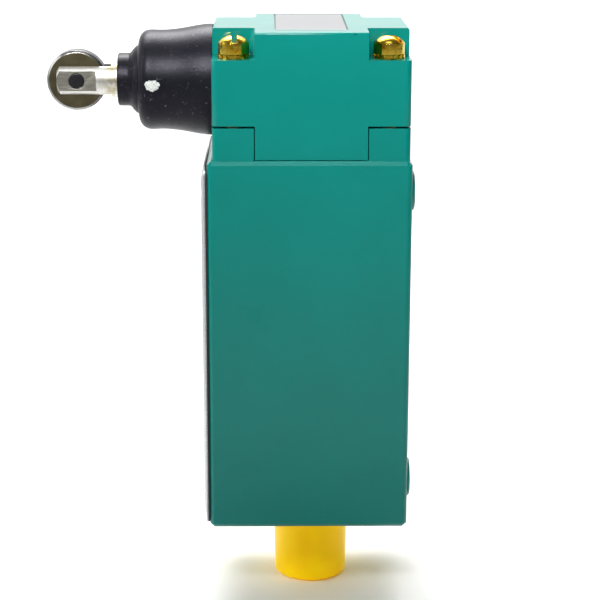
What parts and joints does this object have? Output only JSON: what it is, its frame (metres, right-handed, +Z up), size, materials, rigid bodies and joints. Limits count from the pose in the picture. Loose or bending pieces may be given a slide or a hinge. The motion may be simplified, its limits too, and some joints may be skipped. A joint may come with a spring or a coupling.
{
  "type": "limit switch",
  "caption": "Heavy-duty industrial limit switch: a square die-cast body and head, with a side roller plunger in a rubber boot that works an enclosed snap contact block.",
  "frame": {"origin": "centre of the four mounting holes, on the plane of the rear mounting pads", "axes": "+X out of the rear mounting face, +Z up the body from the conduit entry to the head, +Y across the body so that the plunger points along -X"},
  "size_m": [0.0729, 0.04, 0.1172],
  "materials": {
    "teal_enamel": "semi-gloss baked enamel on a die casting",
    "foil_label": "matte foil with a dark border",
    "black_rubber": "matte",
    "boot_rubber": "satin",
    "yellow_zinc": "yellow zinc chromate",
    "bright_steel": "turned",
    "roller_steel": "ground, bright rim",
    "black_oxide": "black oxide",
    "spring_steel": "drawn wire",
    "bronze": "sintered",
    "black_phenolic": "moulded",
    "contact_brass": "plated",
    "red_plastic": "moulded",
    "cover_aluminium": "satin",
    "fibre_board": "pressed board",
    "green_screw": "dyed",
    "yellow_plastic": "translucent moulded"
  },
  "bodies": {
    "housing": {"body_housing": "teal_enamel", "head_housing": "teal_enamel", "head_label_plate": "foil_label", "head_gasket": "black_rubber", "head_screws": "yellow_zinc", "head_lock_washers": "yellow_zinc", "actuator_seal": "black_rubber", "plunger_bushing": "bronze", "plunger_wiper_ring": "black_rubber", "boot": "boot_rubber", "plunger_key_pin": "bright_steel", "return_spring": "spring_steel", "actuator_spring": "spring_steel", "contact_spring": "spring_steel", "actuator_guide": "bronze", "contact_block_base": "black_phenolic", "contact_block_lid": "black_phenolic", "contact_block_screws": "bright_steel", "terminals_normally_closed": "contact_brass", "terminals_normally_open": "contact_brass", "terminal_screws": "bright_steel", "terminal_clamps": "bright_steel", "front_cover": "cover_aluminium", "cover_gasket": "black_rubber", "cover_screws": "bright_steel", "cover_label_plate": "foil_label", "cover_insulator": "fibre_board", "ground_clamp_washer": "bright_steel", "ground_screw": "green_screw"},
    "plunger": {"plunger_shaft": "bright_steel", "roller_pin": "black_oxide", "plunger_clip": "spring_steel"},
    "roller": {"roller": "roller_steel"},
    "actuator": {"actuator_pin": "bright_steel", "actuator_clip": "spring_steel"},
    "switch_slider": {"switch_button": "red_plastic", "contact_bridge": "contact_brass"},
    "entry_plug": {"conduit_plug": "yellow_plastic"}
  },
  "joints": [
    {"name": "plunger_slide", "type": "slide", "parent": "housing", "child": "plunger", "axis": [1, 0, 0], "range_m": [0, 0.0055], "stiffness_N_per_m": 1500, "springref_m": -0.003, "deforming": ["boot", "return_spring"]},
    {"name": "roller_spin", "type": "hinge", "parent": "plunger", "child": "roller", "pos_m": [-0.0669, 0, 0.0497], "axis": [0, 1, 0], "continuous": true},
    {"name": "actuator_slide", "type": "slide", "parent": "housing", "child": "actuator", "axis": [0, 0, -1], "range_m": [0, 0.0026], "deforming": ["actuator_spring"]},
    {"name": "switch_slide", "type": "slide", "parent": "housing", "child": "switch_slider", "axis": [0, 0, -1], "range_m": [0, 0.0026], "deforming": ["contact_spring"]},
    {"name": "plug_pull", "type": "slide", "parent": "housing", "child": "entry_plug", "axis": [0, 0, -1], "range_m": [0, 0.01]}
  ],
  "couplings": [
    {"joint": "actuator_slide", "follows": "plunger_slide", "ratio": 0.46631},
    {"joint": "switch_slide", "follows": "plunger_slide", "ratio": 0.46631}
  ]
}
